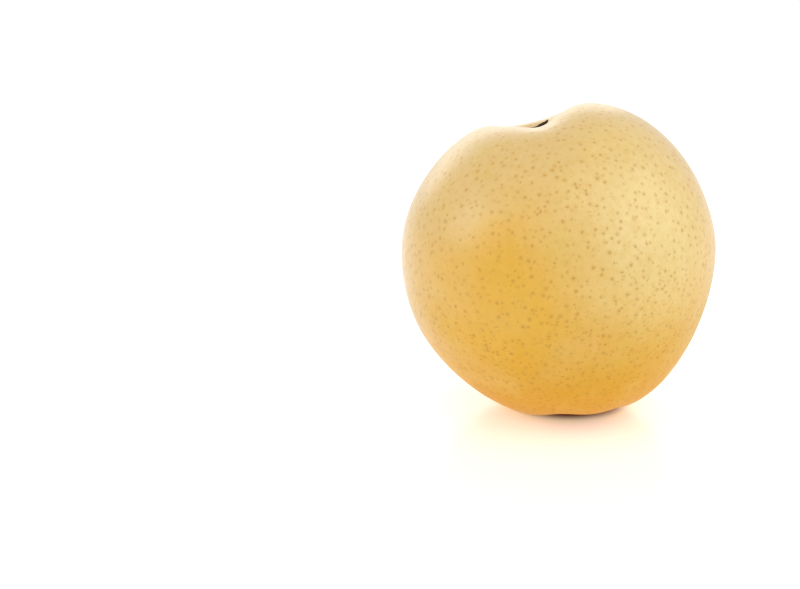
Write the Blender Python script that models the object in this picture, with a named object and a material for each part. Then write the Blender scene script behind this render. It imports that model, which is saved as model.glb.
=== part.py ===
"""A whole Asian pear, resting slightly tilted on a small flat spot.

The pear grows along its own axis (stem up, calyx down) around the middle of its widest ring. It is then leaned over
and lowered on to its resting spot, whose middle is the origin, on z = 0.
"""
import math

import bmesh
import bpy
import numpy as np
from mathutils import Matrix, Vector

# Driving dimensions, in metres and degrees.
WIDTH = 0.0904  # across the widest ring
SHOULDER_HEIGHT = 0.0405  # from the widest ring up to the rim of the stem cavity
BASE_HEIGHT = 0.0442  # from the widest ring down to the rim of the calyx basin
CAVITY_RADIUS = 0.0139  # rim of the stem cavity
CAVITY_DEPTH = 0.009
BASIN_RADIUS = 0.012  # rim of the calyx basin
BASIN_DEPTH = 0.006
STEM_LENGTH = 0.0062
STEM_WIDTH = 0.0026
STEM_LEAN = 0.0014  # how far the stem bends sideways by its tip
SPLINTER_HEIGHT = 0.0010
SEPAL_COUNT = 5
SEPAL_LENGTH = 0.0060
SEPAL_WIDTH = 0.0036
SEPAL_THICKNESS = 0.0005
SEPAL_CURL = 0.0006  # how far its tip and its edges stand up from the basin
STAMEN_HEIGHT = 0.0030
STAMEN_WIDTH = 0.0028
CLEARANCE = 0.0003  # between neighbouring pieces
SPOT_DEPTH = 0.0011  # how much of the lowest bulge the resting spot takes away

# Growth: the ways in which the fruit is not a turned shape.
TOP_LEAN = 0.065  # rise of the shoulder per metre towards +X
BASE_LEAN = -0.112  # rise of the base per metre towards +X
TOP_SHIFT = -0.0008  # how far along X the stem end lies from the axis
BASE_SHIFT = -0.0030  # how far along X the calyx end lies from the axis
RIM_SADDLE = 0.0010  # the rim's rise at its sides and fall at its front and back
SADDLE_REACH = 0.012
DIP_DEPTH = 0.0016  # the rim's dip in front of the stem
DIP_AT = -85.0  # degrees round from +X
DIP_SPREAD = 22.0
DIP_REACH = 0.0152
LOBE_COUNT = 5
LOBE_SWELL = 0.0003

# Pose: the top leans to the left (-X) and away from the front (+Y).
LEAN_LEFT = 10.0
LEAN_BACK = 11.5

# Fullness of the outline's curves, as shares of the distance that each curve spans.
CAVITY_FLOOR_FULLNESS = 0.16
CAVITY_RIM_FULLNESS = 0.55
SHOULDER_CREST_FULLNESS = 0.37
SHOULDER_SIDE_FULLNESS = 0.67
BASE_SIDE_FULLNESS = 0.46
BASE_CREST_FULLNESS = 0.41
BASIN_FULLNESS = 0.45
SEPAL_ROOT_SHARE = 0.4  # width at the root, as a share of the widest
SEPAL_REACH = 0.62  # how much of a sepal's length shows as reach, once it is shrivelled
SEPAL_UNEVENNESS = 0.08
STAMEN_TIP_SHARE = 0.65
STAMEN_GROOVE = 0.85

# Mesh fineness.
RING_STEPS = 64
CAVITY_STEPS = 9
SHOULDER_STEPS = 13
BASE_STEPS = 14
BASIN_STEPS = 8
STEM_SIDES = 12
STEM_RINGS = 6
STAMEN_SIDES = 14
SEPAL_GRID = (6, 4)

SKIN_COLOUR = (0.80, 0.53, 0.18)
STEM_COLOUR = (0.045, 0.022, 0.010)
SEPAL_COLOUR = (0.110, 0.050, 0.018)
STAMEN_COLOUR = (0.040, 0.018, 0.008)


def curve(start, leave, arrive, end, steps):
    """Points of a cubic curve from start to end, in (radius, height)."""
    t = np.linspace(0.0, 1.0, steps + 1)[:, None]
    corners = [np.array(corner) for corner in (start, leave, arrive, end)]
    weights = ((1 - t) ** 3, 3 * (1 - t) ** 2 * t, 3 * (1 - t) * t**2, t**3)
    return sum(weight * corner for weight, corner in zip(weights, corners))


def cavity_curve():
    """From the floor of the stem cavity, in the middle, up to its rim."""
    floor = SHOULDER_HEIGHT - CAVITY_DEPTH
    return curve(
        (0.0, floor),
        (CAVITY_FLOOR_FULLNESS * CAVITY_RADIUS, floor),
        ((1 - CAVITY_RIM_FULLNESS) * CAVITY_RADIUS, SHOULDER_HEIGHT),
        (CAVITY_RADIUS, SHOULDER_HEIGHT),
        CAVITY_STEPS,
    )


def shoulder_curve():
    """From the cavity's rim over the shoulder to the widest ring."""
    side = WIDTH / 2
    return curve(
        (CAVITY_RADIUS, SHOULDER_HEIGHT),
        (CAVITY_RADIUS + SHOULDER_CREST_FULLNESS * (side - CAVITY_RADIUS), SHOULDER_HEIGHT),
        (side, SHOULDER_SIDE_FULLNESS * SHOULDER_HEIGHT),
        (side, 0.0),
        SHOULDER_STEPS,
    )


def base_curve():
    """From the widest ring down to the rim of the calyx basin."""
    side = WIDTH / 2
    return curve(
        (side, 0.0),
        (side, -BASE_SIDE_FULLNESS * BASE_HEIGHT),
        (BASIN_RADIUS + BASE_CREST_FULLNESS * (side - BASIN_RADIUS), -BASE_HEIGHT),
        (BASIN_RADIUS, -BASE_HEIGHT),
        BASE_STEPS,
    )


def basin_curve():
    """From the basin's rim up into its floor, in the middle."""
    floor = BASIN_DEPTH - BASE_HEIGHT
    return curve(
        (BASIN_RADIUS, -BASE_HEIGHT),
        ((1 - BASIN_FULLNESS) * BASIN_RADIUS, -BASE_HEIGHT),
        (BASIN_FULLNESS * BASIN_RADIUS, floor),
        (0.0, floor),
        BASIN_STEPS,
    )


def ease(share):
    """0 to 1 with no kink at either end."""
    share = min(max(share, 0.0), 1.0)
    return share * share * (3 - 2 * share)


def grown(point):
    """Where a point of the regular pear lies on the real, slightly uneven one."""
    x, y, z = point
    radius = math.hypot(x, y)
    around = math.atan2(y, x)
    top = ease(z / SHOULDER_HEIGHT)
    base = ease(-z / BASE_HEIGHT)
    inside_cavity = min(radius / (CAVITY_RADIUS / 2), 1.0) ** 2
    near_rim = math.exp(-(((radius - CAVITY_RADIUS) / SADDLE_REACH) ** 2)) * inside_cavity
    from_dip = math.remainder(around - math.radians(DIP_AT), math.tau) / math.radians(DIP_SPREAD)
    near_dip = math.exp(-(from_dip**2) - ((radius - CAVITY_RADIUS) / DIP_REACH) ** 2) * inside_cavity
    rise = (TOP_LEAN * top + BASE_LEAN * base) * x
    rise += RIM_SADDLE * math.cos(2 * around) * near_rim * top
    rise -= DIP_DEPTH * near_dip * top
    rise -= LOBE_SWELL * math.cos(LOBE_COUNT * around) * near_rim * base
    return Vector((x + TOP_SHIFT * top + BASE_SHIFT * base, y, z + rise))


def grow_and_lean(bm):
    """Gives a piece the pear's growth, then leans it as the pear rests."""
    for vert in bm.verts:
        vert.co = grown(vert.co)
    back = Matrix.Rotation(-math.radians(LEAN_BACK), 3, "X")
    left = Matrix.Rotation(-math.radians(LEAN_LEFT), 3, "Y")
    bmesh.ops.rotate(bm, verts=bm.verts, cent=(0, 0, 0), matrix=left @ back)


def material(name, colour, roughness):
    """A plain Principled material."""
    made = bpy.data.materials.new(name)
    made.use_nodes = True
    shader = made.node_tree.nodes["Principled BSDF"]
    shader.inputs["Base Color"].default_value = (*colour, 1.0)
    shader.inputs["Roughness"].default_value = roughness
    shader.inputs["Metallic"].default_value = 0.0
    return made


def finish(bm, name, surface, sharp_angle=60.0):
    """Turns a bmesh into the named object."""
    bmesh.ops.recalc_face_normals(bm, faces=bm.faces)
    mesh = bpy.data.meshes.new(name)
    bm.to_mesh(mesh)
    bm.free()
    mesh.shade_smooth()
    mesh.set_sharp_from_angle(angle=math.radians(sharp_angle))
    mesh.materials.append(surface)
    piece = bpy.data.objects.new(name, mesh)
    bpy.context.collection.objects.link(piece)
    return piece


def turned(points):
    """A closed shape turned from an outline that starts and ends on the axis."""
    bm = bmesh.new()
    ring = [bm.verts.new((radius, 0.0, height)) for radius, height in points]
    edges = [bm.edges.new(pair) for pair in zip(ring, ring[1:])]
    bmesh.ops.spin(
        bm,
        geom=ring + edges,
        cent=(0, 0, 0),
        axis=(0, 0, 1),
        angle=math.tau,
        steps=RING_STEPS,
        use_merge=True,
    )
    bmesh.ops.remove_doubles(bm, verts=bm.verts, dist=1e-6)
    return bm


def make_fruit():
    """The skin and flesh in one body, with the resting spot cut flat. Returns how far the pear was moved to rest."""
    outline = np.vstack(
        [cavity_curve(), shoulder_curve()[1:], base_curve()[1:], basin_curve()[1:]]
    )
    bm = turned(outline)
    grow_and_lean(bm)
    spot_height = min(vert.co.z for vert in bm.verts) + SPOT_DEPTH
    cut = bmesh.ops.bisect_plane(
        bm,
        geom=bm.verts[:] + bm.edges[:] + bm.faces[:],
        dist=1e-6,
        plane_co=(0, 0, spot_height),
        plane_no=(0, 0, -1),
        clear_outer=True,
    )
    border = [item for item in cut["geom_cut"] if isinstance(item, bmesh.types.BMEdge)]
    spot = bmesh.ops.edgeloop_fill(bm, edges=border)["faces"][0]
    to_rest = -spot.calc_center_median_weighted()
    bmesh.ops.translate(bm, verts=bm.verts, vec=to_rest)
    finish(bm, "fruit", material("pear_skin", SKIN_COLOUR, 0.38))
    return to_rest


def height_at(points, radius):
    """Height of a turned surface at a distance from its middle, from an outline that starts there."""
    return float(np.interp(radius, points[:, 0], points[:, 1]))


def make_stem(to_rest):
    """The woody stub: round, bent a little, with a broken top that rises to a splinter."""
    radius = STEM_WIDTH / 2
    foot = height_at(cavity_curve(), radius) + CLEARANCE
    bm = bmesh.new()
    bmesh.ops.create_circle(bm, segments=STEM_SIDES, radius=radius)
    bmesh.ops.translate(bm, verts=bm.verts, vec=(0, 0, foot))
    end = bm.edges[:]
    bmesh.ops.edgeloop_fill(bm, edges=end)
    for ring in range(1, STEM_RINGS + 1):
        sideways = STEM_LEAN * (2 * ring - 1) / STEM_RINGS**2
        raised = bmesh.ops.extrude_edge_only(bm, edges=end)["geom"]
        end = [item for item in raised if isinstance(item, bmesh.types.BMEdge)]
        verts = [item for item in raised if isinstance(item, bmesh.types.BMVert)]
        end = [edge for edge in end if edge.verts[0] in verts and edge.verts[1] in verts]
        bmesh.ops.translate(bm, verts=verts, vec=(sideways, 0, STEM_LENGTH / STEM_RINGS))
    lid = bmesh.ops.edgeloop_fill(bm, edges=end)["faces"]
    middle = bmesh.ops.poke(bm, faces=lid)["verts"][0]
    for edge in middle.link_edges:
        rim = edge.other_vert(middle)
        towards = (rim.co.x - middle.co.x) / radius
        rim.co.z += SPLINTER_HEIGHT * max(towards, 0.0) ** 2
    grow_and_lean(bm)
    bmesh.ops.translate(bm, verts=bm.verts, vec=to_rest)
    finish(bm, "stem", material("stem_wood", STEM_COLOUR, 0.8), 50.0)


def make_stamens(to_rest):
    """The dried tuft in the middle of the calyx, grooved where the filaments stand side by side."""
    widest = STAMEN_WIDTH / 2
    root = height_at(basin_curve()[::-1], widest) - CLEARANCE
    bm = bmesh.new()
    bmesh.ops.create_cone(
        bm,
        cap_ends=True,
        segments=STAMEN_SIDES,
        radius1=STAMEN_TIP_SHARE * widest,
        radius2=widest,
        depth=STAMEN_HEIGHT,
    )
    bmesh.ops.translate(bm, verts=bm.verts, vec=(0, 0, root - STAMEN_HEIGHT / 2))
    for number, vert in enumerate(sorted(bm.verts, key=lambda vert: math.atan2(vert.co.y, vert.co.x))):
        if number // 2 % 2:
            vert.co.xy *= STAMEN_GROOVE
    grow_and_lean(bm)
    bmesh.ops.translate(bm, verts=bm.verts, vec=to_rest)
    finish(bm, "stamens", material("dry_stamens", STAMEN_COLOUR, 0.9), 40.0)


def make_sepal(number, surface, to_rest):
    """One dried sepal: it leaves the ring round the stamens, follows the basin outwards and curls at its edges."""
    along, across = SEPAL_GRID
    basin = basin_curve()[::-1]
    root = STAMEN_WIDTH / 2 + CLEARANCE + SEPAL_THICKNESS
    unevenness = math.sin(2.4 * number)
    bm = bmesh.new()
    bmesh.ops.create_grid(bm, x_segments=along, y_segments=across, size=0.5)
    for vert in bm.verts:
        share = vert.co.x + 0.5
        width = SEPAL_WIDTH * (SEPAL_ROOT_SHARE + (1 - SEPAL_ROOT_SHARE) * math.sin(math.pi * share**0.8))
        side = vert.co.y * width
        out = root + SEPAL_LENGTH * SEPAL_REACH * share * (1 + SEPAL_UNEVENNESS * unevenness)
        under = height_at(basin, math.hypot(out, side))
        stand = CLEARANCE + SEPAL_THICKNESS + SEPAL_CURL * (share**2 + abs(vert.co.y))
        vert.co = Vector((out, side, under - stand))
    bmesh.ops.recalc_face_normals(bm, faces=bm.faces)
    bmesh.ops.solidify(bm, geom=bm.faces[:], thickness=SEPAL_THICKNESS)
    angle = math.tau * (number + SEPAL_UNEVENNESS * unevenness) / SEPAL_COUNT
    bmesh.ops.rotate(bm, verts=bm.verts, cent=(0, 0, 0), matrix=Matrix.Rotation(angle, 3, "Z"))
    grow_and_lean(bm)
    bmesh.ops.translate(bm, verts=bm.verts, vec=to_rest)
    finish(bm, f"sepal_{number}", surface, 50.0)


def main():
    """Builds the pear."""
    for old in list(bpy.data.objects):
        bpy.data.objects.remove(old, do_unlink=True)
    to_rest = make_fruit()
    make_stem(to_rest)
    make_stamens(to_rest)
    dry_sepal = material("dry_sepal", SEPAL_COLOUR, 0.85)
    for number in range(1, SEPAL_COUNT + 1):
        make_sepal(number, dry_sepal, to_rest)


main()
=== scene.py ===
"""The finished look of a whole Asian pear, resting tilted on the flat spot beside its calyx."""

import math

import bmesh
import bpy
import numpy as np
from bpy.props import FloatProperty, FloatVectorProperty, IntProperty, PointerProperty
from mathutils import Euler, Matrix, Vector, noise


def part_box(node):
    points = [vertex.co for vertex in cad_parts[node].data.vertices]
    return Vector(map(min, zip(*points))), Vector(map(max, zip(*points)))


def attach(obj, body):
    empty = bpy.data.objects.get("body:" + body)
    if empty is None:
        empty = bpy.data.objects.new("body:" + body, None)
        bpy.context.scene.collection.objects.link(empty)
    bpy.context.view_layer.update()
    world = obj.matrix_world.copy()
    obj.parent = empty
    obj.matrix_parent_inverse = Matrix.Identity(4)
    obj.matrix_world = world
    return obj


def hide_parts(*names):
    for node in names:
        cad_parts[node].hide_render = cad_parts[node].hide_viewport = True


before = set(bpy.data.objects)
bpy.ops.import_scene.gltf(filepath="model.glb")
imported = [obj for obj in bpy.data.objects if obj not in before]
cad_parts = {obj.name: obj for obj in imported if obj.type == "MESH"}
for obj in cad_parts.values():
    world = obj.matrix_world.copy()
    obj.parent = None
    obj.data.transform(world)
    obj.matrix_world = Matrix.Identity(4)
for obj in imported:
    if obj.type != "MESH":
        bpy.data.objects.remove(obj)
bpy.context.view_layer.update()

bl_info = {
    "name": "Asian Pear",
    "version": (1, 0, 0),
    "blender": (4, 5, 0),
    "location": "View3D > Sidebar > Pear",
    "description": "Grows a freckled Asian pear with its stem and its dried calyx",
    "category": "Object",
}

FRUIT_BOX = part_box("fruit")
BODY = "root"


# ------------------------------------------------------------------------------
# Settings
# ------------------------------------------------------------------------------


def length(name, description, default):
    """A size in metres."""
    return FloatProperty(
        name=name,
        description=description,
        default=default,
        min=0.0,
        precision=5,
        unit="LENGTH",
        subtype="DISTANCE",
    )


def quantity(name, description, default):
    """A plain number, zero or more."""
    return FloatProperty(name=name, description=description, default=default, min=0.0)


def angle(name, description, degrees):
    """An angle, given in degrees and kept in radians."""
    return FloatProperty(
        name=name, description=description, default=math.radians(degrees), unit="ROTATION", subtype="ANGLE"
    )


def colour(name, description, default):
    """A linear colour."""
    return FloatVectorProperty(
        name=name, description=description, default=default, size=3, min=0.0, max=1.0, subtype="COLOR"
    )


class PearShape(bpy.types.PropertyGroup):
    """The fruit's outline, the waves of its skin and its pose."""

    width: length("Width", "Across the widest ring", 0.0904)
    shoulder_height: length("Shoulder height", "From the widest ring up to the cavity's rim", 0.0405)
    base_height: length("Base height", "From the widest ring down to the basin's rim", 0.0442)
    cavity_radius: length("Cavity radius", "Radius of the stem cavity's rim", 0.0139)
    cavity_depth: length("Cavity depth", "Depth of the stem cavity", 0.009)
    basin_radius: length("Basin radius", "Radius of the calyx basin's rim", 0.012)
    basin_depth: length("Basin depth", "Depth of the calyx basin", 0.006)
    spot_depth: length("Spot depth", "How much of the lowest bulge the resting spot cuts off", 0.0011)
    swell: length("Swell", "Height of the skin's broad, shallow waves", 0.00016)
    lean_left: angle("Lean left", "How far the stem end leans to the left", 10.0)
    lean_back: angle("Lean back", "How far the stem end leans to the back", 11.5)
    middle: FloatVectorProperty(
        name="Middle",
        description="Where the middle of the widest ring comes to rest",
        size=3,
        subtype="TRANSLATION",
    )


class PearTrim(bpy.types.PropertyGroup):
    """The stem and the calyx."""

    stem_length: length("Stem length", "From its foot to its broken end", 0.0070)
    stem_width: length("Stem width", "Across the stem half way up", 0.0036)
    stem_lean: length("Stem lean", "How far the stem has bent sideways at its end", 0.0014)
    splinter: length("Splinter", "How far the broken end's splinter stands out", 0.0010)
    sepals: IntProperty(name="Sepals", description="Number of dried sepals", default=5, min=5, max=5)
    sepal_length: length("Sepal length", "From root to tip along the basin", 0.0042)
    sepal_width: length("Sepal width", "Across the widest part", 0.0038)
    sepal_thickness: length("Sepal thickness", "Thickness of the dry tissue", 0.00022)
    filaments: IntProperty(name="Filaments", description="Number of dried stamens", default=22, min=5, max=60)
    filament_length: length("Filament length", "Length of a dried stamen", 0.0036)
    tuft_radius: length("Tuft radius", "Radius of the cushion that the stamens stand on", 0.0012)


class PearColours(bpy.types.PropertyGroup):
    """The colours of the skin, the stem and the calyx."""

    skin_base: colour("Base gold", "Skin near the calyx end", (0.615, 0.328, 0.000))
    skin_side: colour("Side gold", "Skin round the middle", (0.745, 0.452, 0.095))
    skin_shoulder: colour("Shoulder yellow", "Skin on the shoulders", (0.675, 0.455, 0.140))
    skin_green: colour("Green cast", "Faint patches that ripened last", (0.69, 0.475, 0.090))
    # painted highlight: paler skin where the broad highlight on the right falls; the fruit itself is no paler
    # there
    pale_cheek: colour("Pale cheek", "The side that grew in the shade", (0.758, 0.552, 0.195))
    # a warm blush on the front left, partly real and partly painted warm bounce light
    warm_cheek: colour("Warm cheek", "The side that ripened first", (0.750, 0.408, 0.018))
    freckle: colour("Freckle", "The corky dots of the skin", (0.56, 0.272, 0.000))
    freckle_base: colour("Base freckle", "The finer, darker dots near the calyx end", (0.40, 0.190, 0.000))
    russet: colour("Russet", "Brown stain round the stem and the calyx", (0.42, 0.170, 0.035))
    bark: colour("Bark", "The stem's dark bark", (0.040, 0.018, 0.010))
    bark_light: colour("Light bark", "Light streaks in the bark", (0.120, 0.060, 0.030))
    sepal: colour("Sepal", "Dry sepal tissue", (0.230, 0.095, 0.028))
    dark_fibre: colour("Dark fibre", "Dark streaks in the sepals and the stamens", (0.045, 0.016, 0.007))
    filament: colour("Filament", "Dried stamens", (0.060, 0.026, 0.011))


class PearStage(bpy.types.PropertyGroup):
    """The camera, the lights and the floor."""

    camera_distance: length("Camera distance", "From the camera to the middle of its view", 0.646)
    camera_height: angle("Camera elevation", "How far the camera looks down", 16.0)
    lens: FloatProperty(name="Lens", description="Focal length in millimetres", default=100.0, min=10.0)
    aim_height: length("Aim height", "Height of the pear's middle above the floor", 0.044)
    framed_right: length("Framed right", "How far right of the view's middle the pear stands", 0.0463)
    framed_up: length("Framed up", "How far above the view's middle the pear stands", 0.01125)
    surroundings: quantity("Surroundings", "Strength of the white room", 0.90)
    front: quantity("Front", "Strength of the room low down behind the camera", 0.81)
    key_power: quantity("Key power", "Watts of the right softbox", 1.7)
    key_colour: colour("Key colour", "The right softbox's slightly cool white", (0.86, 0.95, 1.0))
    fill_power: quantity("Fill power", "Watts of the left softbox", 0.75)
    back_power: quantity("Back power", "Watts of the rear softbox", 1.5)
    top_light: quantity("Top light", "Strength of the broad light from above", 0.35)
    floor_glow: quantity("Floor glow", "Strength of the floor's own light", 0.42)
    floor_tone: colour("Floor", "The pale floor", (0.96, 0.96, 0.96))
    # painted shadow: the floor's colour is darkened to deep red-brown under the fruit, in place of its
    # contact shadow
    painted_contact_shadow: colour("Contact", "The deep tint of the floor under the fruit", (0.50, 0.08, 0.00))
    # painted light: a warm glow round the foot stands in for light that the fruit throws back on the floor
    floor_near: colour("Floor near", "The floor's own light round the fruit's foot", (0.98, 0.86, 0.60))
    # painted reflection: cream floor colour and glow round the foot, in place of the fruit's warm reflection
    # and bounce
    painted_cream_reflection: colour("Floor cream", "The cream floor round that", (1.00, 0.86, 0.78))
    floor_far: colour("Floor far", "The floor's own light, far from the fruit", (0.22, 0.22, 0.22))


# ------------------------------------------------------------------------------
# The fruit's shape
# ------------------------------------------------------------------------------

# Growth: the ways in which the fruit is not a turned shape. Lengths are in metres.
TOP_LEAN = 0.065  # slope by which the top rises towards +X
BASE_LEAN = -0.112  # slope by which the base rises towards +X
TOP_SHIFT = -0.0008  # how far the top has grown towards +X
BASE_SHIFT = -0.0030  # how far the base has grown towards +X
RIM_SADDLE = 0.0010  # rise of the cavity's rim at its two sides
SADDLE_REACH = 0.012
DIP_DEPTH = 0.0016  # the one low place in the rim
DIP_AT = -85.0  # degrees round from +X
DIP_SPREAD = 22.0  # degrees
DIP_REACH = 0.0152
LOBE_COUNT = 5
LOBE_SWELL = 0.0003  # height of the lobes round the basin

# Fullness of the outline's curves, as shares of the distance that each curve spans.
CAVITY_FLOOR_FULLNESS = 0.16
CAVITY_RIM_FULLNESS = 0.55
SHOULDER_CREST_FULLNESS = 0.37
SHOULDER_SIDE_FULLNESS = 0.67
BASE_SIDE_FULLNESS = 0.46
BASE_CREST_FULLNESS = 0.41
BASIN_FULLNESS = 0.45

# How finely the fruit is divided: round it, and along each curve of its outline.
RING_STEPS = 320
CAVITY_STEPS = 36
SHOULDER_STEPS = 66
BASE_STEPS = 66
BASIN_STEPS = 30
MERGE_DISTANCE = 1e-6

BROAD_WAVE = 0.016  # spacing of the skin's waves
FINE_WAVE = 0.005
FINE_SHARE = 0.25  # height of the fine waves, as a share of the broad ones


def curve(start, leave, arrive, end, steps):
    """Points of a cubic curve from start to end, in (radius, height)."""
    t = np.linspace(0.0, 1.0, steps + 1)[:, None]
    corners = [np.array(corner) for corner in (start, leave, arrive, end)]
    weights = ((1 - t) ** 3, 3 * (1 - t) ** 2 * t, 3 * (1 - t) * t**2, t**3)
    return sum(weight * corner for weight, corner in zip(weights, corners))


def cavity_curve(shape):
    """From the floor of the stem cavity, in the middle, up to its rim."""
    floor = shape.shoulder_height - shape.cavity_depth
    return curve(
        (0.0, floor),
        (CAVITY_FLOOR_FULLNESS * shape.cavity_radius, floor),
        ((1 - CAVITY_RIM_FULLNESS) * shape.cavity_radius, shape.shoulder_height),
        (shape.cavity_radius, shape.shoulder_height),
        CAVITY_STEPS,
    )


def shoulder_curve(shape):
    """From the cavity's rim over the shoulder to the widest ring."""
    side = shape.width / 2
    crest = shape.cavity_radius + SHOULDER_CREST_FULLNESS * (side - shape.cavity_radius)
    return curve(
        (shape.cavity_radius, shape.shoulder_height),
        (crest, shape.shoulder_height),
        (side, SHOULDER_SIDE_FULLNESS * shape.shoulder_height),
        (side, 0.0),
        SHOULDER_STEPS,
    )


def base_curve(shape):
    """From the widest ring down to the rim of the calyx basin."""
    side = shape.width / 2
    crest = shape.basin_radius + BASE_CREST_FULLNESS * (side - shape.basin_radius)
    return curve(
        (side, 0.0),
        (side, -BASE_SIDE_FULLNESS * shape.base_height),
        (crest, -shape.base_height),
        (shape.basin_radius, -shape.base_height),
        BASE_STEPS,
    )


def basin_curve(shape):
    """From the basin's rim up into its floor, in the middle."""
    floor = shape.basin_depth - shape.base_height
    return curve(
        (shape.basin_radius, -shape.base_height),
        ((1 - BASIN_FULLNESS) * shape.basin_radius, -shape.base_height),
        (BASIN_FULLNESS * shape.basin_radius, floor),
        (0.0, floor),
        BASIN_STEPS,
    )


def ease(amount):
    """0 to 1 with no kink at either end."""
    amount = min(max(amount, 0.0), 1.0)
    return amount * amount * (3 - 2 * amount)


def grown(point, shape):
    """Where a point of the regular pear lies on the real, slightly uneven one."""
    x, y, z = point
    radius = math.hypot(x, y)
    around = math.atan2(y, x)
    top = ease(z / shape.shoulder_height)
    base = ease(-z / shape.base_height)
    off_axis = min(radius / (shape.cavity_radius / 2), 1.0) ** 2
    near_rim = math.exp(-(((radius - shape.cavity_radius) / SADDLE_REACH) ** 2)) * off_axis
    from_dip = math.remainder(around - math.radians(DIP_AT), math.tau) / math.radians(DIP_SPREAD)
    near_dip = math.exp(-(from_dip**2) - ((radius - shape.cavity_radius) / DIP_REACH) ** 2) * off_axis
    rise = (TOP_LEAN * top + BASE_LEAN * base) * x
    rise += RIM_SADDLE * math.cos(2 * around) * near_rim * top
    rise -= DIP_DEPTH * near_dip * top
    rise -= LOBE_SWELL * math.cos(LOBE_COUNT * around) * near_rim * base
    return Vector((x + TOP_SHIFT * top + BASE_SHIFT * base, y, z + rise))


def lean(shape):
    """The turn from the pear's own upright axes to the way it rests."""
    back = Matrix.Rotation(-shape.lean_back, 3, "X")
    left = Matrix.Rotation(-shape.lean_left, 3, "Y")
    return left @ back


def grow_and_rest(bm, shape):
    """Gives a piece of trim the pear's growth and brings it to where the pear rests."""
    for vert in bm.verts:
        vert.co = grown(vert.co, shape)
    bmesh.ops.rotate(bm, verts=bm.verts, cent=(0, 0, 0), matrix=lean(shape))
    bmesh.ops.translate(bm, verts=bm.verts, vec=shape.middle)


def height_at(outline, radius):
    """Height of a turned surface at a distance from its middle, from an outline that starts there."""
    return float(np.interp(radius, outline[:, 0], outline[:, 1]))


def wave(point, shape):
    """The skin's broad, shallow unevenness at a point."""
    broad = noise.noise(point / BROAD_WAVE)
    fine = noise.noise(point / FINE_WAVE)
    return shape.swell * (broad + FINE_SHARE * fine)


# ------------------------------------------------------------------------------
# Meshes and materials
# ------------------------------------------------------------------------------


def verts_of(result):
    """The vertices in a bmesh operator's result."""
    return [item for item in result["geom"] if isinstance(item, bmesh.types.BMVert)]


def edges_of(result, verts):
    """The edges in a bmesh operator's result that run between the given vertices."""
    found = [item for item in result["geom"] if isinstance(item, bmesh.types.BMEdge)]
    return [edge for edge in found if edge.verts[0] in verts and edge.verts[1] in verts]


def finish_piece(bm, name, surface, slot, *nodes):
    """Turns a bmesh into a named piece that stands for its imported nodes."""
    bmesh.ops.recalc_face_normals(bm, faces=bm.faces)
    mesh = bpy.data.meshes.new(name)
    bm.to_mesh(mesh)
    bm.free()
    mesh.polygons.foreach_set("use_smooth", [True] * len(mesh.polygons))
    mesh.materials.append(surface)
    piece = bpy.data.objects.new(name, mesh)
    bpy.context.collection.objects.link(piece)
    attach(piece, BODY)
    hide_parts(*nodes)
    return piece


def put(tree, value, socket):
    """Links a socket, or sets a plain number or colour."""
    if isinstance(value, bpy.types.NodeSocket):
        tree.links.new(value, socket)
    elif value is not None:
        socket.default_value = value


def maths(tree, operation, first, second=None, third=None, clamp=False):
    """A Math node's result."""
    made = tree.nodes.new("ShaderNodeMath")
    made.operation = operation
    made.use_clamp = clamp
    for value, socket in zip((first, second, third), made.inputs):
        put(tree, value, socket)
    return made.outputs[0]


def times(tree, *values):
    """The product of two or more values."""
    product = values[0]
    for value in values[1:]:
        product = maths(tree, "MULTIPLY", product, value)
    return product


def vector_maths(tree, operation, first, second=None, scale=None):
    """A Vector Math node's result: a number for a length or a distance, or else a vector."""
    made = tree.nodes.new("ShaderNodeVectorMath")
    made.operation = operation
    put(tree, first, made.inputs[0])
    if operation == "SCALE":
        put(tree, scale, made.inputs["Scale"])
    else:
        put(tree, second, made.inputs[1])
    return made.outputs["Value" if operation in ("LENGTH", "DISTANCE") else "Vector"]


def ramp(tree, value, low, high, start=0.0, end=1.0):
    """A smooth step of a value from start at low to end at high."""
    made = tree.nodes.new("ShaderNodeMapRange")
    made.interpolation_type = "SMOOTHSTEP"
    for given, socket in zip((value, low, high, start, end), made.inputs):
        put(tree, given, socket)
    return made.outputs[0]


MIX_COLOURS = slice(6, 8)  # a Mix node's two colour inputs
MIX_RESULT = 2  # its colour output


def blend(tree, factor, first, second):
    """A mix of two colours."""
    made = tree.nodes.new("ShaderNodeMix")
    made.data_type = "RGBA"
    put(tree, factor, made.inputs[0])
    for value, socket in zip((first, second), made.inputs[MIX_COLOURS]):
        put(tree, value if isinstance(value, bpy.types.NodeSocket) else (*value, 1.0), socket)
    return made.outputs[MIX_RESULT]


def grain(tree, vector, scale, detail=2.0, roughness=0.5):
    """A noise texture's value."""
    made = tree.nodes.new("ShaderNodeTexNoise")
    put(tree, vector, made.inputs["Vector"])
    made.inputs["Scale"].default_value = scale
    made.inputs["Detail"].default_value = detail
    made.inputs["Roughness"].default_value = roughness
    return made.outputs["Fac"]


def bump(tree, height, distance, normal=None, strength=1.0):
    """A Bump node's normal."""
    made = tree.nodes.new("ShaderNodeBump")
    made.inputs["Strength"].default_value = strength
    made.inputs["Distance"].default_value = distance
    put(tree, height, made.inputs["Height"])
    put(tree, normal, made.inputs["Normal"])
    return made.outputs[0]


def group(name, inputs, outputs):
    """A new shader node group, with its input and output nodes."""
    tree = bpy.data.node_groups.new(name, "ShaderNodeTree")
    for title, kind, default in inputs:
        socket = tree.interface.new_socket(title, in_out="INPUT", socket_type=kind)
        if default is not None:
            socket.default_value = default
    for title, kind in outputs:
        tree.interface.new_socket(title, in_out="OUTPUT", socket_type=kind)
    return tree, tree.nodes.new("NodeGroupInput").outputs, tree.nodes.new("NodeGroupOutput").inputs


def use(tree, source, **values):
    """Places a node group and returns its outputs. Each value is named after its socket."""
    made = tree.nodes.new("ShaderNodeGroup")
    made.node_tree = source
    for socket in made.inputs:
        put(tree, values.get(socket.name.lower().replace(" ", "_")), socket)
    return made.outputs


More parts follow.
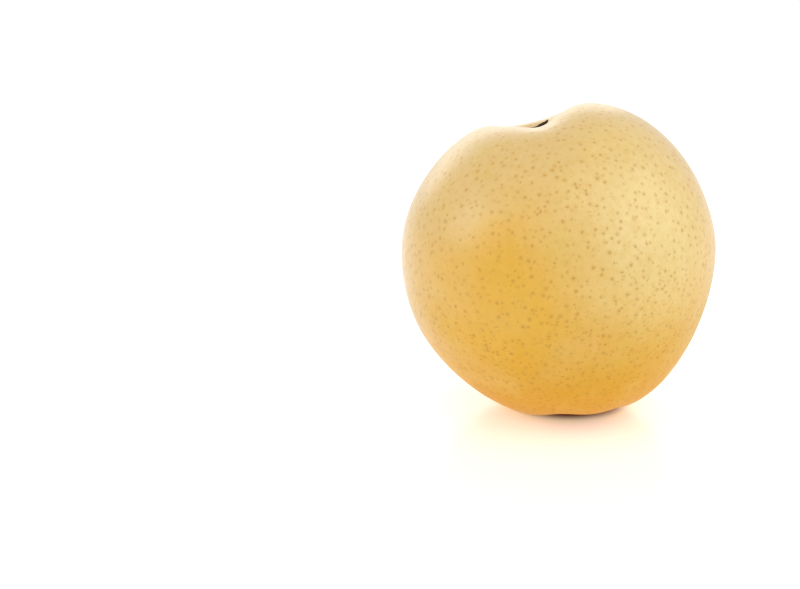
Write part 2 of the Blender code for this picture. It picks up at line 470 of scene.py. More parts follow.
NOISE_MEAN = (0.5, 0.5, 0.5)
WOBBLE_FINENESS = 2.3  # waves of a freckle's ragged edge, per cell
FRECKLE_SCATTER = 0.88  # how far freckles stray from even rows, from 0 to 1
FRECKLE_DEPTH = (0.45, 0.60)  # cells off the skin at which a freckle starts to fade and has gone
HALO_REACH = 1.9  # a halo's radius over its freckle's


def freckle_group():
    """Corky dots of uneven size and strength, one for each scattered point that lies near the skin."""
    name = "Freckles"
    if name in bpy.data.node_groups:
        return bpy.data.node_groups[name]
    tree, given, out = group(
        name,
        [
            ("Vector", "NodeSocketVector", None),
            ("Density", "NodeSocketFloat", 400.0),
            ("Least", "NodeSocketFloat", 0.08),
            ("Most", "NodeSocketFloat", 0.2),
            ("Softness", "NodeSocketFloat", 0.5),
            ("Wobble", "NodeSocketFloat", 0.1),
        ],
        [("Mask", "NodeSocketFloat"), ("Halo", "NodeSocketFloat"), ("Tone", "NodeSocketFloat")],
    )
    uneven = tree.nodes.new("ShaderNodeTexNoise")
    uneven.inputs["Detail"].default_value = 1.0
    put(tree, given["Vector"], uneven.inputs["Vector"])
    put(tree, times(tree, given["Density"], WOBBLE_FINENESS), uneven.inputs["Scale"])
    centred = vector_maths(tree, "SUBTRACT", uneven.outputs["Color"], NOISE_MEAN)
    amount = maths(tree, "DIVIDE", given["Wobble"], given["Density"])
    shift = vector_maths(tree, "SCALE", centred, scale=amount)
    moved = vector_maths(tree, "ADD", given["Vector"], shift)
    cells = tree.nodes.new("ShaderNodeTexVoronoi")
    put(tree, moved, cells.inputs["Vector"])
    put(tree, given["Density"], cells.inputs["Scale"])
    cells.inputs["Randomness"].default_value = FRECKLE_SCATTER
    chance = tree.nodes.new("ShaderNodeSeparateColor")
    put(tree, cells.outputs["Color"], chance.inputs[0])
    reach = vector_maths(tree, "LENGTH", moved)
    on_skin = vector_maths(tree, "NORMALIZE", cells.outputs["Position"])
    on_skin = vector_maths(tree, "SCALE", on_skin, scale=reach)
    distance = times(tree, vector_maths(tree, "DISTANCE", moved, on_skin), given["Density"])
    spread = maths(tree, "SUBTRACT", given["Most"], given["Least"])
    radius = maths(tree, "MULTIPLY_ADD", chance.outputs[0], spread, given["Least"])
    inner = times(tree, radius, maths(tree, "SUBTRACT", 1.0, given["Softness"]))
    depth = maths(tree, "SUBTRACT", vector_maths(tree, "LENGTH", cells.outputs["Position"]), reach)
    depth = times(tree, maths(tree, "ABSOLUTE", depth), given["Density"])
    near = ramp(tree, depth, *FRECKLE_DEPTH, 1.0, 0.0)
    for edge, name in ((radius, "Mask"), (times(tree, radius, HALO_REACH), "Halo")):
        put(tree, times(tree, ramp(tree, distance, inner, edge, 1.0, 0.0), near), out[name])
    put(tree, chance.outputs[1], out["Tone"])
    return tree


# Noise in the stretched fibre: scale, detail and roughness.
STREAK_NOISE = (1.0, 3.0, 0.6)
STREAK_EDGES = (0.35, 0.65)
FINE_NOISE = (4.0, 4.0, 0.65)
FINE_RELIEF = 0.35  # height of the fine grain, as a share of the streaks' height


def fibre_group():
    """Dry plant fibre: streaks along one axis, broken up by fine grain."""
    name = "Dry fibre"
    if name in bpy.data.node_groups:
        return bpy.data.node_groups[name]
    tree, given, out = group(
        name,
        [
            ("Vector", "NodeSocketVector", None),
            ("Fineness", "NodeSocketFloat", 2500.0),
            ("Stretch", "NodeSocketFloat", 0.15),
        ],
        [("Streak", "NodeSocketFloat"), ("Grain", "NodeSocketFloat"), ("Height", "NodeSocketFloat")],
    )
    squeeze = tree.nodes.new("ShaderNodeCombineXYZ")
    put(tree, given["Fineness"], squeeze.inputs[0])
    put(tree, given["Fineness"], squeeze.inputs[1])
    put(tree, times(tree, given["Fineness"], given["Stretch"]), squeeze.inputs[2])
    along = vector_maths(tree, "MULTIPLY", given["Vector"], squeeze.outputs[0])
    streak = ramp(tree, grain(tree, along, *STREAK_NOISE), *STREAK_EDGES)
    fine = grain(tree, along, *FINE_NOISE)
    put(tree, streak, out["Streak"])
    put(tree, fine, out["Grain"])
    put(tree, maths(tree, "MULTIPLY_ADD", fine, FINE_RELIEF, streak), out["Height"])
    return tree


def own_place(tree, shape):
    """The pear's own coordinates: its middle at zero and its stem along +Z."""
    source = tree.nodes.new("ShaderNodeTexCoord")
    made = tree.nodes.new("ShaderNodeMapping")
    turn = lean(shape).inverted()
    made.inputs["Rotation"].default_value = turn.to_euler("XYZ")
    made.inputs["Location"].default_value = -(turn @ Vector(shape.middle))
    put(tree, source.outputs["Object"], made.inputs["Vector"])
    return made.outputs[0]


def new_material(name):
    """An empty Principled material: itself, its tree and its shader's inputs."""
    made = bpy.data.materials.new(name)
    made.use_nodes = True
    return made, made.node_tree, made.node_tree.nodes["Principled BSDF"].inputs


# The skin's two cheeks: a painted highlight on the right, and a warm blush on the front left that is partly
# painted bounce light.
# Each has its middle in the pear's own coordinates, and the distances from it over which the cheek fades.
CHEEKS = {
    "warm_cheek": ((-0.018, -0.037, -0.005), 0.002, 0.030),
    "pale_cheek": ((0.026, -0.034, 0.006), 0.010, 0.036),
}

# Noise on the skin: scale, detail and roughness.
DRIFT_NOISE = (45.0, 3.0, 0.55)
PATCH_NOISE = (75.0, 4.0, 0.6)
MOTTLE_NOISE = (420.0, 3.0, 0.6)
RAGGED_NOISE = (260.0, 4.0, 0.65)
SHEEN_NOISE = (900.0, 2.0, 0.5)
PORE_NOISE = (1700.0, 3.0, 0.6)
DRY_NOISE = (900.0, 4.0, 0.7)

# Heights above the widest ring, in metres, at which a change starts and ends.
BASE_TO_SIDE = (-0.044, -0.006)
SIDE_TO_SHOULDER = (-0.004, 0.036)
BASE_TO_SIDE_FRECKLES = (-0.030, 0.006)
DRIFT = 0.030  # how far the drift noise carries those heights, from lowest to highest
RAGGED = 0.006  # how ragged the russet's edge is

# Changes: a value's low and high, and the strength at each.
PATCHES = (0.46, 0.74, 0.0, 0.55)
MOTTLE = (0.30, 0.75, 0.0, 0.26)
BIG_TONES = (0.0, 1.0, 0.28, 0.84)
SMALL_TONES = (0.35, 1.0, 0.0, 0.80)
STEM_RUSSET = (0.0015, 0.0075, 0.75, 0.0)
STEM_HALF = (0.0, 0.02, 0.0, 1.0)
CALYX_RUSSET = (0.003, 0.0105, 0.85, 0.0)
CALYX_HALF = (-0.02, 0.0, 1.0, 0.0)
WAX = (-0.036, 0.008, 0.0, 0.85)

BIG_DENSITY = 375.0  # cells per metre
SMALL_DENSITY = 620.0
# Least and most radius in cells, the soft share of it, and how ragged the edge is.
FRECKLE_SHAPE = {"least": 0.20, "most": 0.30, "softness": 0.85, "wobble": 0.25}
BIG_FADE = 0.6  # how much weaker the big freckles are at the base
SMALL_FADE = 0.50  # strength of the small freckles away from the base, as a share of that at it
HALO_STRENGTH = 0.16

LEAST_ROUGHNESS = 0.38
ROUGHNESS_RANGE = 0.10
FRECKLE_ROUGHNESS = 0.20
RUSSET_ROUGHNESS = 0.25
PORE_DEPTH = 0.000035  # metres, like the next two
FRECKLE_HEIGHT = 0.00003
RUSSET_HEIGHT = 0.00025
SKIN_SHADER = {
    "IOR": 1.45,
    "Specular IOR Level": 0.42,
    "Coat IOR": 1.6,
    "Coat Roughness": 0.31,
    "Subsurface Weight": 0.10,
    "Subsurface Radius": (1.0, 0.45, 0.15),
    "Subsurface Scale": 0.003,
}


def skin_material(shape, colours):
    """Waxy golden skin: soft patches of colour, corky freckles and russet round both ends."""
    made, tree, shader = new_material("pear_skin")
    place = own_place(tree, shape)
    parts = tree.nodes.new("ShaderNodeSeparateXYZ")
    put(tree, place, parts.inputs[0])
    across, deep, height = parts.outputs
    square = maths(tree, "ADD", maths(tree, "POWER", across, 2.0), maths(tree, "POWER", deep, 2.0))
    radius = maths(tree, "SQRT", square)

    drift = maths(tree, "MULTIPLY_ADD", grain(tree, place, *DRIFT_NOISE), DRIFT, -DRIFT / 2)
    level = maths(tree, "ADD", height, drift)
    tint = blend(tree, ramp(tree, level, *BASE_TO_SIDE), colours.skin_base, colours.skin_side)
    tint = blend(tree, ramp(tree, level, *SIDE_TO_SHOULDER), tint, colours.skin_shoulder)
    tint = blend(tree, ramp(tree, grain(tree, place, *PATCH_NOISE), *PATCHES), tint, colours.skin_green)
    # the cheeks: a painted highlight, and a warm blush that is partly painted bounce light
    for name, (centre, near, far) in CHEEKS.items():
        away = maths(tree, "ADD", vector_maths(tree, "DISTANCE", place, centre), drift)
        tint = blend(tree, ramp(tree, away, near, far, 1.0, 0.0), tint, getattr(colours, name))
    tint = blend(tree, ramp(tree, grain(tree, place, *MOTTLE_NOISE), *MOTTLE), tint, colours.skin_base)

    freckles = freckle_group()
    big = use(tree, freckles, vector=place, density=BIG_DENSITY, **FRECKLE_SHAPE)
    small = use(tree, freckles, vector=place, density=SMALL_DENSITY, **FRECKLE_SHAPE)
    towards_base = ramp(tree, level, *BASE_TO_SIDE_FRECKLES, 1.0, 0.0)
    big_share = maths(tree, "SUBTRACT", 1.0, times(tree, towards_base, BIG_FADE))
    small_share = maths(tree, "MULTIPLY_ADD", towards_base, 1 - SMALL_FADE, SMALL_FADE)
    big_strength = times(tree, ramp(tree, big["Tone"], *BIG_TONES), big["Mask"], big_share)
    small_strength = times(tree, ramp(tree, small["Tone"], *SMALL_TONES), small["Mask"], small_share)
    spots = maths(tree, "MAXIMUM", big_strength, small_strength)
    tint = blend(tree, times(tree, big["Halo"], big["Tone"], HALO_STRENGTH), tint, colours.russet)
    tint = blend(tree, spots, tint, blend(tree, towards_base, colours.freckle, colours.freckle_base))

    ragged = maths(tree, "MULTIPLY_ADD", grain(tree, place, *RAGGED_NOISE), RAGGED, -RAGGED / 2)
    ring = maths(tree, "ADD", radius, ragged)
    stem_stain = times(tree, ramp(tree, ring, *STEM_RUSSET), ramp(tree, height, *STEM_HALF))
    calyx_stain = times(tree, ramp(tree, ring, *CALYX_RUSSET), ramp(tree, height, *CALYX_HALF))
    stain = maths(tree, "MAXIMUM", stem_stain, calyx_stain)
    put(tree, blend(tree, stain, tint, colours.russet), shader["Base Color"])

    sheen = grain(tree, place, *SHEEN_NOISE)
    rough = maths(tree, "MULTIPLY_ADD", sheen, ROUGHNESS_RANGE, LEAST_ROUGHNESS)
    rough = maths(tree, "MULTIPLY_ADD", spots, FRECKLE_ROUGHNESS, rough)
    rough = maths(tree, "MULTIPLY_ADD", stain, RUSSET_ROUGHNESS, rough, clamp=True)
    put(tree, rough, shader["Roughness"])
    pores = bump(tree, grain(tree, place, *PORE_NOISE), PORE_DEPTH)
    corky = bump(tree, spots, FRECKLE_HEIGHT, pores)
    dry = bump(tree, times(tree, stain, grain(tree, place, *DRY_NOISE)), RUSSET_HEIGHT, corky)
    put(tree, dry, shader["Normal"])
    put(tree, ramp(tree, level, *WAX), shader["Coat Weight"])
    for name, value in SKIN_SHADER.items():
        shader[name].default_value = value
    return made


# Each dry tissue's fibre: fineness, stretch and the height of its relief in metres.
FIBRES = {
    "stem_wood": (2600.0, 0.12, 0.00012),
    "dry_sepal": (1500.0, 0.5, 0.00015),
    "dry_stamens": (3500.0, 0.1, 0.00006),
}
# What the fibre's fine grain does: its low and high, and the result at each.
FIBRE_SHADE = (0.35, 0.7, 0.35, 1.0)
FIBRE_ROUGHNESS = (0.3, 0.7, 0.62, 0.92)


def fibre_material(name, shape, dark, light):
    """Dry plant tissue with streaks of two browns."""
    fineness, stretch, relief = FIBRES[name]
    made, tree, shader = new_material(name)
    place = own_place(tree, shape)
    fibre = use(tree, fibre_group(), vector=place, fineness=fineness, stretch=stretch)
    tone = times(tree, fibre["Streak"], ramp(tree, fibre["Grain"], *FIBRE_SHADE))
    put(tree, blend(tree, tone, dark, light), shader["Base Color"])
    put(tree, ramp(tree, fibre["Grain"], *FIBRE_ROUGHNESS), shader["Roughness"])
    put(tree, bump(tree, fibre["Height"], relief), shader["Normal"])
    return made


# ------------------------------------------------------------------------------
# Operators
# ------------------------------------------------------------------------------


class PEAR_OT_fruit(bpy.types.Operator):
    """Grow the fruit: skin and flesh in one body, leaned over and flat where it rests"""

    bl_idname = "pear.fruit"
    bl_label = "Grow Fruit"

    def execute(self, context):
        shape = context.scene.pear_shape
        later = (shoulder_curve, base_curve, basin_curve)
        outline = np.vstack([cavity_curve(shape), *(part(shape)[1:] for part in later)])
        bm = bmesh.new()
        ring = [bm.verts.new((radius, 0.0, height)) for radius, height in outline]
        edges = [bm.edges.new(pair) for pair in zip(ring, ring[1:])]
        bmesh.ops.spin(
            bm,
            geom=ring + edges,
            cent=(0, 0, 0),
            axis=(0, 0, 1),
            angle=math.tau,
            steps=RING_STEPS,
            use_merge=True,
        )
        bmesh.ops.remove_doubles(bm, verts=bm.verts, dist=MERGE_DISTANCE)
        bmesh.ops.recalc_face_normals(bm, faces=bm.faces)
        bm.normal_update()
        for vert in bm.verts:
            vert.co = grown(vert.co + vert.normal * wave(vert.co, shape), shape)
        bmesh.ops.rotate(bm, verts=bm.verts, cent=(0, 0, 0), matrix=lean(shape))
        self.rest(bm, shape)
        surface = skin_material(shape, context.scene.pear_colours)
        finish_piece(bm, "pear_fruit", surface, "pear_skin", "fruit")
        return {"FINISHED"}

    def rest(self, bm, shape):
        """Cuts the resting spot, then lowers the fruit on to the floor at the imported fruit's place."""
        spot = min(vert.co.z for vert in bm.verts) + shape.spot_depth
        cut = bmesh.ops.bisect_plane(
            bm,
            geom=bm.verts[:] + bm.edges[:] + bm.faces[:],
            dist=MERGE_DISTANCE,
            plane_co=(0, 0, spot),
            plane_no=(0, 0, -1),
            clear_outer=True,
        )
        border = [item for item in cut["geom_cut"] if isinstance(item, bmesh.types.BMEdge)]
        bmesh.ops.edgeloop_fill(bm, edges=border)
        for edge in border:
            edge.smooth = False
        low, high = FRUIT_BOX
        shape.middle.z = low.z - spot
        for axis in (0, 1):
            values = [vert.co[axis] for vert in bm.verts]
            shape.middle[axis] = (low[axis] + high[axis] - min(values) - max(values)) / 2
        bmesh.ops.translate(bm, verts=bm.verts, vec=shape.middle)


STEM_SIDES = 40
STEM_RINGS = 34
STEM_RIDGES = 7
RIDGE_SHARE = 0.07  # depth of the ridges, as a share of the radius
FOOT_FLARE = 0.45  # how much wider the stem is where it leaves the fruit
END_FLARE = 0.22
FLARE_REACH = 0.18  # share of the length over which the foot narrows
KNOB_SIZE = 0.0009  # spacing of the bark's knobs
KNOB_HEIGHT = 0.00012
STEM_SINK = 0.0006  # how far the stem's foot reaches into the cavity's floor
LID_INSETS = (0.25, 0.25, 0.25)  # rings in the broken end, as shares of the plain column's radius
RIDGE_TWIST = 2.0  # radians that the ridges turn round on their way up
END_FROM = 0.55  # share of the height above which the stem widens again
BREAK_FROM = 0.72  # share of the height above which the break shapes it
BREAK_LEVEL = 0.45
BREAK_JAG = 0.35
JAG_FINENESS = 1.7
JAG_SEED = 3.0
SPLINTER_BEND = 0.8  # how far the splinter points outwards, as a share of its height


class PEAR_OT_stem(bpy.types.Operator):
    """Add the stem: a short woody stub, ridged and knobbly, broken off at a slant"""

    bl_idname = "pear.stem"
    bl_label = "Add Stem"

    def execute(self, context):
        shape = context.scene.pear_shape
        trim = context.scene.pear_trim
        colours = context.scene.pear_colours
        foot = shape.shoulder_height - shape.cavity_depth - STEM_SINK
        tall = trim.stem_length + STEM_SINK
        bm = bmesh.new()
        bmesh.ops.create_circle(bm, segments=STEM_SIDES, radius=1.0)
        end = bm.edges[:]
        bmesh.ops.edgeloop_fill(bm, edges=end)
        for _ in range(STEM_RINGS):
            raised = bmesh.ops.extrude_edge_only(bm, edges=end)
            verts = verts_of(raised)
            end = edges_of(raised, verts)
            bmesh.ops.translate(bm, verts=verts, vec=(0, 0, 1 / STEM_RINGS))
        lid = bmesh.ops.edgeloop_fill(bm, edges=end)["faces"]
        for depth in LID_INSETS:
            bmesh.ops.inset_region(bm, faces=lid, thickness=depth)
        bmesh.ops.poke(bm, faces=lid)
        for vert in bm.verts:
            self.shape_vert(vert, trim, foot, tall)
        grow_and_rest(bm, shape)
        surface = fibre_material("stem_wood", shape, colours.bark, colours.bark_light)
        finish_piece(bm, "pear_stem", surface, "stem_wood", "stem")
        return {"FINISHED"}

    def shape_vert(self, vert, trim, foot, tall):
        """Moves a vertex of a plain unit column to its place on the stem."""
        across = Vector((vert.co.x, vert.co.y))
        up = vert.co.z
        around = math.atan2(across.y, across.x)
        ridge = 1 + RIDGE_SHARE * math.sin(STEM_RIDGES * around + RIDGE_TWIST * up) * min(across.length, 1.0)
        foot_flare = FOOT_FLARE * math.exp(-up / FLARE_REACH)
        end_flare = END_FLARE * ease((up - END_FROM) / (1 - END_FROM))
        radius = trim.stem_width / 2 * ridge * (1 + foot_flare + end_flare)
        place = Vector((across.x * radius, across.y * radius, foot + up * tall))
        place.x += trim.stem_lean * up**2
        broken = ease((up - BREAK_FROM) / (1 - BREAK_FROM))
        slant = (1 + across.x) / 2
        jag = noise.noise(Vector((across.x * JAG_FINENESS, across.y * JAG_FINENESS, JAG_SEED)))
        place.z += broken * trim.splinter * (slant**2 - BREAK_LEVEL + BREAK_JAG * jag)
        place.x += broken * trim.splinter * SPLINTER_BEND * slant**4
        outwards = Vector((across.x, across.y, 0.0))
        vert.co = place + outwards * KNOB_HEIGHT * noise.noise(place / KNOB_SIZE)


SEPAL_GRID = (22, 12)
SEPAL_TURNS = (0.10, -0.16, 0.05, 0.18, -0.12)  # how far off its even place each is, in shares of the spacing
SEPAL_REACHES = (1.00, 1.12, 0.88, 1.05, 0.94)  # each one's length over the set length
SEPAL_SEED = 7.0
SEPAL_LIFT = 0.00035  # how far a sepal's root stands off the basin
SEPAL_START = 0.0004  # from the cushion's edge out to a sepal's root
SEPAL_ROOT_SHARE = 0.45  # width of the root, over the widest part
SEPAL_TIP_SHARE = 0.06
BLADE_END = 1.02  # above 1: the blade closes a little before its tip
BLADE_BELLY = 0.75  # below 1: the widest part is nearer the root
BLADE_FULLNESS = 0.8  # below 1: a fuller outline
SEPAL_CURL = 0.0011  # how far its edges and its tip curl off the basin
ROOT_EDGE_CURL = 0.35  # the edges' curl at the root, as a share of that at the tip
EDGE_CURL_POWER = 2.5
TIP_CURL = 0.8
CURL_PULL = 0.5  # how far the curl draws the tip back in
EDGE_TUCK = 0.35  # how far it draws the edges in
SEPAL_CRUMPLE = 0.00035
CRUMPLE_SIZE = 0.0012

CUSHION_GRID = (24, 12)
CUSHION_HEIGHT = 0.45  # over its width
CUSHION_STAND = 0.0001  # how far its middle stands off the basin's floor
FILAMENT_SIDES = 6
FILAMENT_WIDTH = 0.00032
FILAMENT_WIDTHS = (1.0, 0.9, 0.8, 0.75, 0.8, 1.5, 1.3, 0.5)  # from the root to the anther's end
FILAMENT_RINGS = len(FILAMENT_WIDTHS) - 1
GOLDEN_TURN = 2.39996  # radians between one filament and the next
GOLDEN_SHARE = 0.618
ROOT_INNER = 0.35  # where the innermost filament stands, as a share of the tuft's radius
ROOT_SPAN = 0.5
FILAMENT_BEND = 0.25  # as a share of its length
# A filament's number gives its length and its lean, through sines that don't line up.
LENGTH_STEP = 1.7
LENGTH_SPREAD = 0.25
LEAN_STEP = 2.3
LEAN_MEAN = 0.175  # radians
LEAN_SPREAD = 0.275  # radians


class PEAR_OT_calyx(bpy.types.Operator):
    """Add the calyx: five shrivelled sepals round a tuft of dried stamens"""

    bl_idname = "pear.calyx"
    bl_label = "Add Calyx"

    def execute(self, context):
        shape = context.scene.pear_shape
        trim = context.scene.pear_trim
        colours = context.scene.pear_colours
        basin = basin_curve(shape)[::-1]
        paper = fibre_material("dry_sepal", shape, colours.dark_fibre, colours.sepal)
        for number in range(trim.sepals):
            self.sepal(number, trim, shape, basin, paper)
        dark = fibre_material("dry_stamens", shape, colours.dark_fibre, colours.filament)
        self.stamens(trim, shape, basin, dark)
        return {"FINISHED"}

    def sepal(self, number, trim, shape, basin, paper):
        """One sepal: it follows the basin outwards, with curled edges and a crumpled blade."""
        bm = bmesh.new()
        bmesh.ops.create_grid(bm, x_segments=SEPAL_GRID[0], y_segments=SEPAL_GRID[1], size=0.5)
        reach = trim.sepal_length * SEPAL_REACHES[number % len(SEPAL_REACHES)]
        seed = Vector((0, 0, SEPAL_SEED * number))
        for vert in bm.verts:
            along = vert.co.x + 0.5
            edge = 2 * abs(vert.co.y)
            belly = math.sin(math.pi * min(along * BLADE_END, 1.0) ** BLADE_BELLY) ** BLADE_FULLNESS
            blade = SEPAL_ROOT_SHARE * (1 - along) + belly
            side = vert.co.y * trim.sepal_width * max(blade, SEPAL_TIP_SHARE)
            out = trim.tuft_radius + SEPAL_START + reach * along
            crumple = noise.noise(Vector((out, side, 0)) / CRUMPLE_SIZE + seed)
            edge_curl = edge**EDGE_CURL_POWER * (ROOT_EDGE_CURL + (1 - ROOT_EDGE_CURL) * along)
            curl = SEPAL_CURL * (edge_curl + TIP_CURL * along**4)
            stand = SEPAL_LIFT + trim.sepal_thickness + curl + SEPAL_CRUMPLE * (0.5 + crumple)
            out -= CURL_PULL * curl * along
            side *= 1 - EDGE_TUCK * edge**4
            vert.co = Vector((out, side, height_at(basin, math.hypot(out, side)) - stand))
        bmesh.ops.recalc_face_normals(bm, faces=bm.faces)
        bmesh.ops.solidify(bm, geom=bm.faces[:], thickness=trim.sepal_thickness)
        turn = math.tau * (number + 1 + SEPAL_TURNS[number % len(SEPAL_TURNS)]) / trim.sepals
        bmesh.ops.rotate(bm, verts=bm.verts, cent=(0, 0, 0), matrix=Matrix.Rotation(turn, 3, "Z"))
        grow_and_rest(bm, shape)
        finish_piece(bm, f"dried_sepal_{number + 1}", paper, "dry_sepal", f"sepal_{number + 1}")

    def stamens(self, trim, shape, basin, dark):
        """The tuft: thin dried filaments that stand on a low cushion and lean over one another."""
        floor = height_at(basin, 0.0)
        bm = bmesh.new()
        round_it, down_it = CUSHION_GRID
        ball = bmesh.ops.create_uvsphere(bm, u_segments=round_it, v_segments=down_it, radius=trim.tuft_radius)
        bmesh.ops.scale(bm, verts=ball["verts"], vec=(1.0, 1.0, CUSHION_HEIGHT))
        bmesh.ops.translate(bm, verts=ball["verts"], vec=(0, 0, floor - CUSHION_STAND))
        for number in range(trim.filaments):
            self.filament(bm, number, trim, floor)
        grow_and_rest(bm, shape)
        finish_piece(bm, "dried_stamens", dark, "dry_stamens", "stamens")

    def filament(self, bm, number, trim, floor):
        """One filament: a thin tapered thread with a small dried anther at its end."""
        made = bmesh.ops.create_circle(bm, segments=FILAMENT_SIDES, radius=FILAMENT_WIDTH / 2)["verts"]
        end = list(dict.fromkeys(edge for vert in made for edge in vert.link_edges))
        bmesh.ops.edgeloop_fill(bm, edges=end)
        share = 1 - LENGTH_SPREAD + LENGTH_SPREAD * math.sin(number * LENGTH_STEP)
        step = trim.filament_length / FILAMENT_RINGS * share
        for width, next_width in zip(FILAMENT_WIDTHS, FILAMENT_WIDTHS[1:]):
            raised = bmesh.ops.extrude_edge_only(bm, edges=end)
            verts = verts_of(raised)
            end = edges_of(raised, verts)
            bmesh.ops.translate(bm, verts=verts, vec=(0, 0, step))
            grow = next_width / width
            bmesh.ops.scale(bm, verts=verts, vec=(grow, grow, 1.0))
            made += verts
        bmesh.ops.edgeloop_fill(bm, edges=end)
        around = number * GOLDEN_TURN
        bend = FILAMENT_BEND * trim.filament_length * math.sin(number)
        for vert in made:
            vert.co.x += bend * (vert.co.z / trim.filament_length) ** 2
        lean_out = LEAN_MEAN + LEAN_SPREAD * math.sin(number * LEAN_STEP)
        tilt = Matrix.Rotation(around, 3, "Z") @ Matrix.Rotation(math.pi - lean_out, 3, "Y")
        bmesh.ops.rotate(bm, verts=made, cent=(0, 0, 0), matrix=tilt)
        ring_radius = trim.tuft_radius * (ROOT_INNER + ROOT_SPAN * ((number * GOLDEN_SHARE) % 1.0))
        root = Vector((math.cos(around) * ring_radius, math.sin(around) * ring_radius, floor))
        bmesh.ops.translate(bm, verts=made, vec=root)


WHITE = (1.0, 1.0, 1.0)
BLACK = (0.0, 0.0, 0.0)
FLOOR_SIDE = 8.0
FLOOR_CELLS = 8
FLOOR_DROP = 0.00004  # keeps the floor just clear of the resting spot
FOOT = (0.003, 0.0, 0.0)  # the middle of the shadow
# Rings of painted shade and light on the floor round that, each as the distances at which a change starts and
# ends.
# They hold a painted contact shadow, painted warm bounce light and a painted cream reflection.
SHADOW_EDGE = (0.0133, 0.0203)  # from the unlit contact tint to the warm light round the foot
CREAM_EDGE = (0.0185, 0.0245)  # from that to the cream light
FAR_EDGE = (0.035, 0.085)  # from cream to the plain floor's faint light
# Noise on the floor, as scale and detail, and its low and high with the result at each.
SHADE_NOISE = (3.0, 3.0)
SHADE = (0.3, 0.7, 0.0, 0.35)
SHADE_DIMNESS = 0.985
POLISH_NOISE = (14.0, 2.0)
POLISH = (0.3, 0.7, 0.20, 0.26)
FLOOR_SPECULAR = 0.30
ROOM_FADE = (-0.8, 0.3)  # a direction's backward and upward parts, added: from all front to none

SOFTBOX_SIZES = {"key": (0.85, 0.65), "fill": (0.40, 0.40), "back": (1.20, 0.40)}
# Where each softbox stands, as seen from the pear: degrees round from the front to the right, degrees
# up, and metres away.
SOFTBOX_PLACES = {"key": (68.0, 30.0, 0.75), "fill": (-78.0, 25.0, 0.80), "back": (194.0, 14.0, 1.20)}
TOP_LIGHT_SPREAD = 80.0  # degrees
TOP_LIGHT_FROM = (-0.12, -0.45, 1.0)
SENSOR_WIDTH = 36.0  # millimetres
CLIP = (0.01, 50.0)


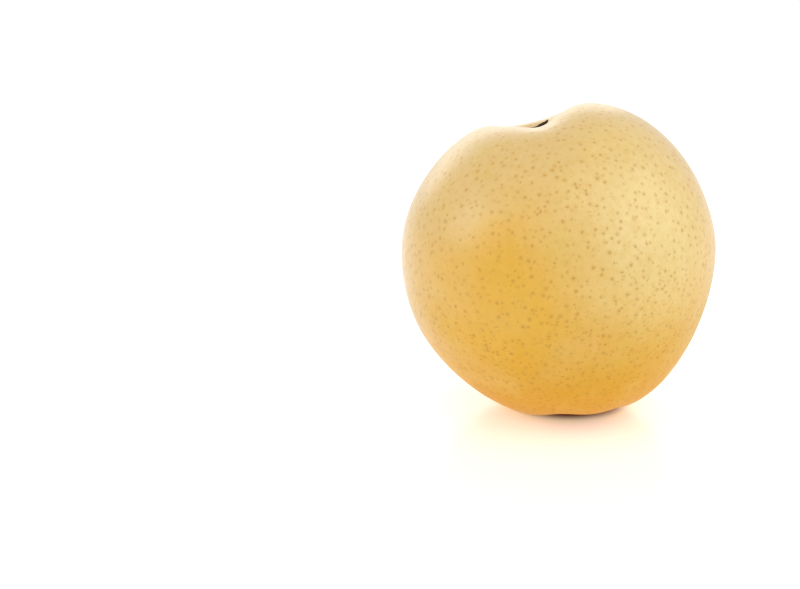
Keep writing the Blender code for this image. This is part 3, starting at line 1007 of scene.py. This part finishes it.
class PEAR_OT_stage(bpy.types.Operator):
    """Set the stage: a pale floor, a white room, three softboxes, a top light and the camera"""

    bl_idname = "pear.stage"
    bl_label = "Set Stage"

    def execute(self, context):
        settings = context.scene.pear_stage
        middle = Vector((0, 0, settings.aim_height))
        self.floor(settings)
        self.room(context.scene, settings)
        for name in SOFTBOX_PLACES:
            self.softbox(name, settings, middle)
        self.top_light(settings)
        self.camera(context.scene, settings, middle)
        context.scene.view_settings.view_transform = "Standard"
        return {"FINISHED"}

    def floor(self, settings):
        """A wide pale floor that glows: a painted contact shadow under the fruit,
        painted warm bounce light and a painted cream reflection round it, then a faint even glow.
        """
        bm = bmesh.new()
        bmesh.ops.create_grid(bm, x_segments=FLOOR_CELLS, y_segments=FLOOR_CELLS, size=FLOOR_SIDE / 2)
        bmesh.ops.translate(bm, verts=bm.verts, vec=(0, 0, -FLOOR_DROP))
        mesh = bpy.data.meshes.new("studio_floor")
        bm.to_mesh(mesh)
        bm.free()
        made, tree, shader = new_material("pale_floor")
        place = tree.nodes.new("ShaderNodeTexCoord").outputs["Object"]
        away = vector_maths(tree, "DISTANCE", place, FOOT)
        lit = ramp(tree, away, *SHADOW_EDGE)
        cream = ramp(tree, away, *CREAM_EDGE)
        far = ramp(tree, away, *FAR_EDGE)
        tone = settings.floor_tone
        shade = ramp(tree, grain(tree, place, *SHADE_NOISE), *SHADE)
        plain = blend(tree, shade, tone, [SHADE_DIMNESS * part for part in tone])
        # near the fruit the floor's colour turns cream: a painted reflection
        plain = blend(tree, far, settings.painted_cream_reflection, plain)
        # base colour: the painted contact shadow under the fruit, then the floor beyond it
        put(tree, blend(tree, lit, settings.painted_contact_shadow, plain), shader["Base Color"])
        put(tree, ramp(tree, grain(tree, place, *POLISH_NOISE), *POLISH), shader["Roughness"])
        # emission: none in the painted shadow, painted warm bounce round the foot, the painted cream
        # reflection, then the faint even glow
        glow = blend(tree, lit, BLACK, settings.floor_near)
        glow = blend(tree, cream, glow, settings.painted_cream_reflection)
        glow = blend(tree, far, glow, settings.floor_far)
        put(tree, glow, shader["Emission Color"])
        shader["Emission Strength"].default_value = settings.floor_glow
        shader["Specular IOR Level"].default_value = FLOOR_SPECULAR
        mesh.materials.append(made)
        floor = bpy.data.objects.new("studio_floor", mesh)
        bpy.context.collection.objects.link(floor)

    def room(self, scene, settings):
        """White surroundings that are dimmer low down in front, where the camera stands."""
        world = bpy.data.worlds.new("white_room")
        world.use_nodes = True
        tree = world.node_tree
        parts = tree.nodes.new("ShaderNodeSeparateXYZ")
        put(tree, tree.nodes.new("ShaderNodeTexCoord").outputs["Generated"], parts.inputs[0])
        side = maths(tree, "ADD", parts.outputs[1], parts.outputs[2])
        strength = ramp(tree, side, *ROOM_FADE, settings.front, settings.surroundings)
        put(tree, strength, tree.nodes["Background"].inputs["Strength"])
        tree.nodes["Background"].inputs["Color"].default_value = (*WHITE, 1.0)
        scene.world = world

    def softbox(self, name, settings, middle):
        """One rectangular softbox that faces the pear."""
        around, up, distance = SOFTBOX_PLACES[name]
        around, up = math.radians(around), math.radians(up)
        away = Vector((math.sin(around) * math.cos(up), -math.cos(around) * math.cos(up), math.sin(up)))
        data = bpy.data.lights.new(f"{name}_softbox", "AREA")
        data.shape = "RECTANGLE"
        data.size, data.size_y = SOFTBOX_SIZES[name]
        data.energy = getattr(settings, f"{name}_power")
        data.color = settings.key_colour if name == "key" else WHITE
        lamp = bpy.data.objects.new(f"{name}_softbox", data)
        bpy.context.collection.objects.link(lamp)
        lamp.location = middle + away * distance
        lamp.rotation_euler = away.to_track_quat("Z", "Y").to_euler()
        lamp.visible_camera = False

    def top_light(self, settings):
        """A broad, even light from above and in front, as from a bright ceiling."""
        data = bpy.data.lights.new("top_light", "SUN")
        data.energy = settings.top_light
        data.angle = math.radians(TOP_LIGHT_SPREAD)
        lamp = bpy.data.objects.new("top_light", data)
        bpy.context.collection.objects.link(lamp)
        lamp.rotation_euler = Vector(TOP_LIGHT_FROM).to_track_quat("Z", "Y").to_euler()

    def camera(self, scene, settings, middle):
        """A long lens that looks a little down, with the pear at the right of the view."""
        data = bpy.data.cameras.new("camera")
        data.lens = settings.lens
        data.sensor_width = SENSOR_WIDTH
        data.clip_start, data.clip_end = CLIP
        camera = bpy.data.objects.new("camera", data)
        bpy.context.collection.objects.link(camera)
        down = settings.camera_height
        camera.rotation_euler = Euler((math.pi / 2 - down, 0, 0))
        ahead = Vector((0, math.cos(down), -math.sin(down)))
        up = Vector((0, math.sin(down), math.cos(down)))
        aim = middle - Vector((settings.framed_right, 0, 0)) - up * settings.framed_up
        camera.location = aim - ahead * settings.camera_distance
        scene.camera = camera


class PEAR_PT_panel(bpy.types.Panel):
    """The pear's pieces and settings"""

    bl_idname = "PEAR_PT_panel"
    bl_label = "Asian Pear"
    bl_space_type = "VIEW_3D"
    bl_region_type = "UI"
    bl_category = "Pear"

    def draw(self, context):
        for operator in (PEAR_OT_fruit, PEAR_OT_stem, PEAR_OT_calyx, PEAR_OT_stage):
            self.layout.operator(operator.bl_idname)
        for name in SETTINGS:
            settings = getattr(context.scene, name)
            box = self.layout.box()
            for key in settings.bl_rna.properties.keys():
                if key not in ("rna_type", "name"):
                    box.prop(settings, key)


SETTINGS = {
    "pear_shape": PearShape,
    "pear_trim": PearTrim,
    "pear_colours": PearColours,
    "pear_stage": PearStage,
}
CLASSES = (*SETTINGS.values(), PEAR_OT_fruit, PEAR_OT_stem, PEAR_OT_calyx, PEAR_OT_stage, PEAR_PT_panel)


def register():
    """Adds the classes and the scene's settings."""
    for cls in CLASSES:
        bpy.utils.register_class(cls)
    for name, cls in SETTINGS.items():
        setattr(bpy.types.Scene, name, PointerProperty(type=cls))


def unregister():
    """Removes the settings and the classes."""
    for name in SETTINGS:
        delattr(bpy.types.Scene, name)
    for cls in reversed(CLASSES):
        bpy.utils.unregister_class(cls)


def main():
    """Builds the pear and its stage."""
    register()
    bpy.ops.pear.fruit()
    bpy.ops.pear.stem()
    bpy.ops.pear.calyx()
    bpy.ops.pear.stage()


if __name__ == "__main__":
    main()
